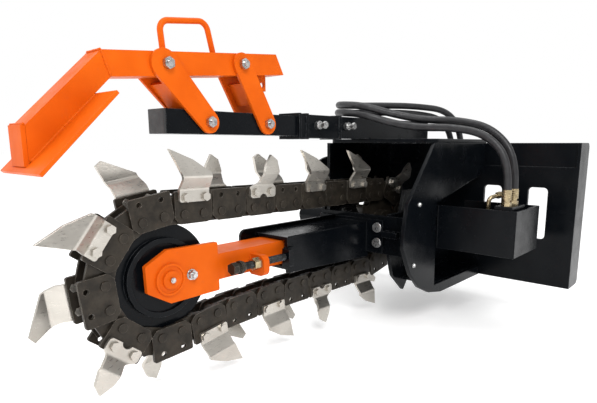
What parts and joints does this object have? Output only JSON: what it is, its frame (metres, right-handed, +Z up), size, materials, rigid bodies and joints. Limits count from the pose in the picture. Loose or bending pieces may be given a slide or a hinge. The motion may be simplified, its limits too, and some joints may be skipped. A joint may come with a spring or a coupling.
{
  "type": "skid-steer trencher attachment",
  "caption": "Chain trencher attachment with a digging boom, cupped cutting teeth, a folding crumber arm, a spoil auger, a hydraulic motor and a skid-steer hitch plate",
  "frame": {"origin": "middle of the hitch plate's flat face on the carrier side", "axes": "+X towards the carrier, so the digging boom runs along -X; +Z up; -Y is the side with the hydraulic motor"},
  "size_m": [1.4882, 0.99, 0.8233],
  "materials": {
    "black_paint": "satin black paint",
    "orange_paint": "gloss orange paint",
    "chain_steel": "blackened, oiled steel",
    "tooth_steel": "bright cast steel",
    "zinc_steel": "zinc plated",
    "cast_housing": "painted casting",
    "brass": "machined brass",
    "bronze": "plain bronze",
    "hose_rubber": "braided rubber hose",
    "black_plastic": "moulded plastic"
  },
  "bodies": {
    "frame": {"hitch_plate": "black_paint", "near_gusset": "black_paint", "far_side_plate": "black_paint", "top_plate": "black_paint", "bearing_beam": "black_paint", "cross_plate": "black_paint", "boom": "black_paint", "slide_pads": "black_plastic", "boom_root_bolts": "zinc_steel", "near_bearing": "cast_housing", "far_bearing": "cast_housing", "bearing_bolts": "zinc_steel", "motor_guard": "black_paint", "hydraulic_motor": "black_paint", "hose_fittings": "brass", "drain_elbow": "brass", "pressure_hose": "hose_rubber", "return_hose": "hose_rubber", "pressure_coupler": "zinc_steel", "return_coupler": "zinc_steel", "crumber_sleeve": "black_paint", "set_bolts": "zinc_steel", "set_nuts": "zinc_steel", "screw_bracket": "black_paint", "bracket_bolts": "zinc_steel", "tension_screw": "chain_steel", "chain_outer_plates_run": "chain_steel", "chain_inner_plates_run": "chain_steel", "chain_rollers_run": "chain_steel", "chain_pins_run": "chain_steel", "near_teeth_run": "tooth_steel", "far_teeth_run": "tooth_steel", "tooth_bolts_run": "tooth_steel"},
    "drive": {"head_shaft": "zinc_steel", "drive_sprocket": "chain_steel", "auger": "black_paint"},
    "tension_arm": {"nose_arm": "orange_paint", "nose_axle": "zinc_steel", "grease_fitting": "zinc_steel", "arm_bolts": "zinc_steel", "tension_nut": "brass", "chain_outer_plates_nose": "chain_steel", "chain_inner_plates_nose": "chain_steel", "chain_rollers_nose": "chain_steel", "chain_pins_nose": "chain_steel", "near_teeth_nose": "tooth_steel", "far_teeth_nose": "tooth_steel", "tooth_bolts_nose": "tooth_steel"},
    "idler": {"nose_wheel": "black_paint", "wheel_bushing": "bronze"},
    "crumber_slide": {"crumber_bar": "black_paint", "bar_end_cap": "black_plastic", "lower_link_bolts": "zinc_steel"},
    "front_link": {"front_link": "orange_paint"},
    "rear_link": {"rear_link": "orange_paint"},
    "crumber": {"crumber_beam": "orange_paint", "crumber_shoe": "orange_paint", "crumber_handle": "orange_paint", "upper_link_bolts": "zinc_steel"}
  },
  "joints": [
    {"name": "head_spin", "type": "hinge", "parent": "frame", "child": "drive", "pos_m": [-0.28694, 0.067, -0.03926], "axis": [0, 1, 0], "continuous": true, "deforming": ["chain_rollers_run"]},
    {"name": "arm_slide", "type": "slide", "parent": "frame", "child": "tension_arm", "axis": [1, 0, 0], "range_m": [0, 0.02], "deforming": ["chain_outer_plates_run", "chain_inner_plates_run", "chain_rollers_run", "chain_pins_run", "near_teeth_run", "far_teeth_run", "tooth_bolts_run"]},
    {"name": "idler_spin", "type": "hinge", "parent": "tension_arm", "child": "idler", "pos_m": [-1.13, 0.067, -0.058], "axis": [0, 1, 0], "continuous": true},
    {"name": "crumber_bar_slide", "type": "slide", "parent": "frame", "child": "crumber_slide", "axis": [1, 0, 0], "range_m": [-0.2, 0.04]},
    {"name": "front_link_fold", "type": "hinge", "parent": "crumber_slide", "child": "front_link", "pos_m": [-1.003, 0.067, 0.277], "axis": [0, 1, 0], "range_deg": [0, 40]},
    {"name": "rear_link_fold", "type": "hinge", "parent": "crumber_slide", "child": "rear_link", "pos_m": [-0.826, 0.067, 0.278], "axis": [0, 1, 0], "range_deg": [0, 37.4]},
    {"name": "crumber_tilt", "type": "hinge", "parent": "front_link", "child": "crumber", "pos_m": [-1.104, 0.067, 0.391], "axis": [0, 1, 0], "range_deg": [-34.4, 0]}
  ],
  "couplings": [
    {"joint": "idler_spin", "follows": "head_spin", "ratio": 0.79202},
    {"joint": "rear_link_fold", "follows": "front_link_fold", "ratio": 0.935},
    {"joint": "crumber_tilt", "follows": "front_link_fold", "ratio": -0.86}
  ]
}
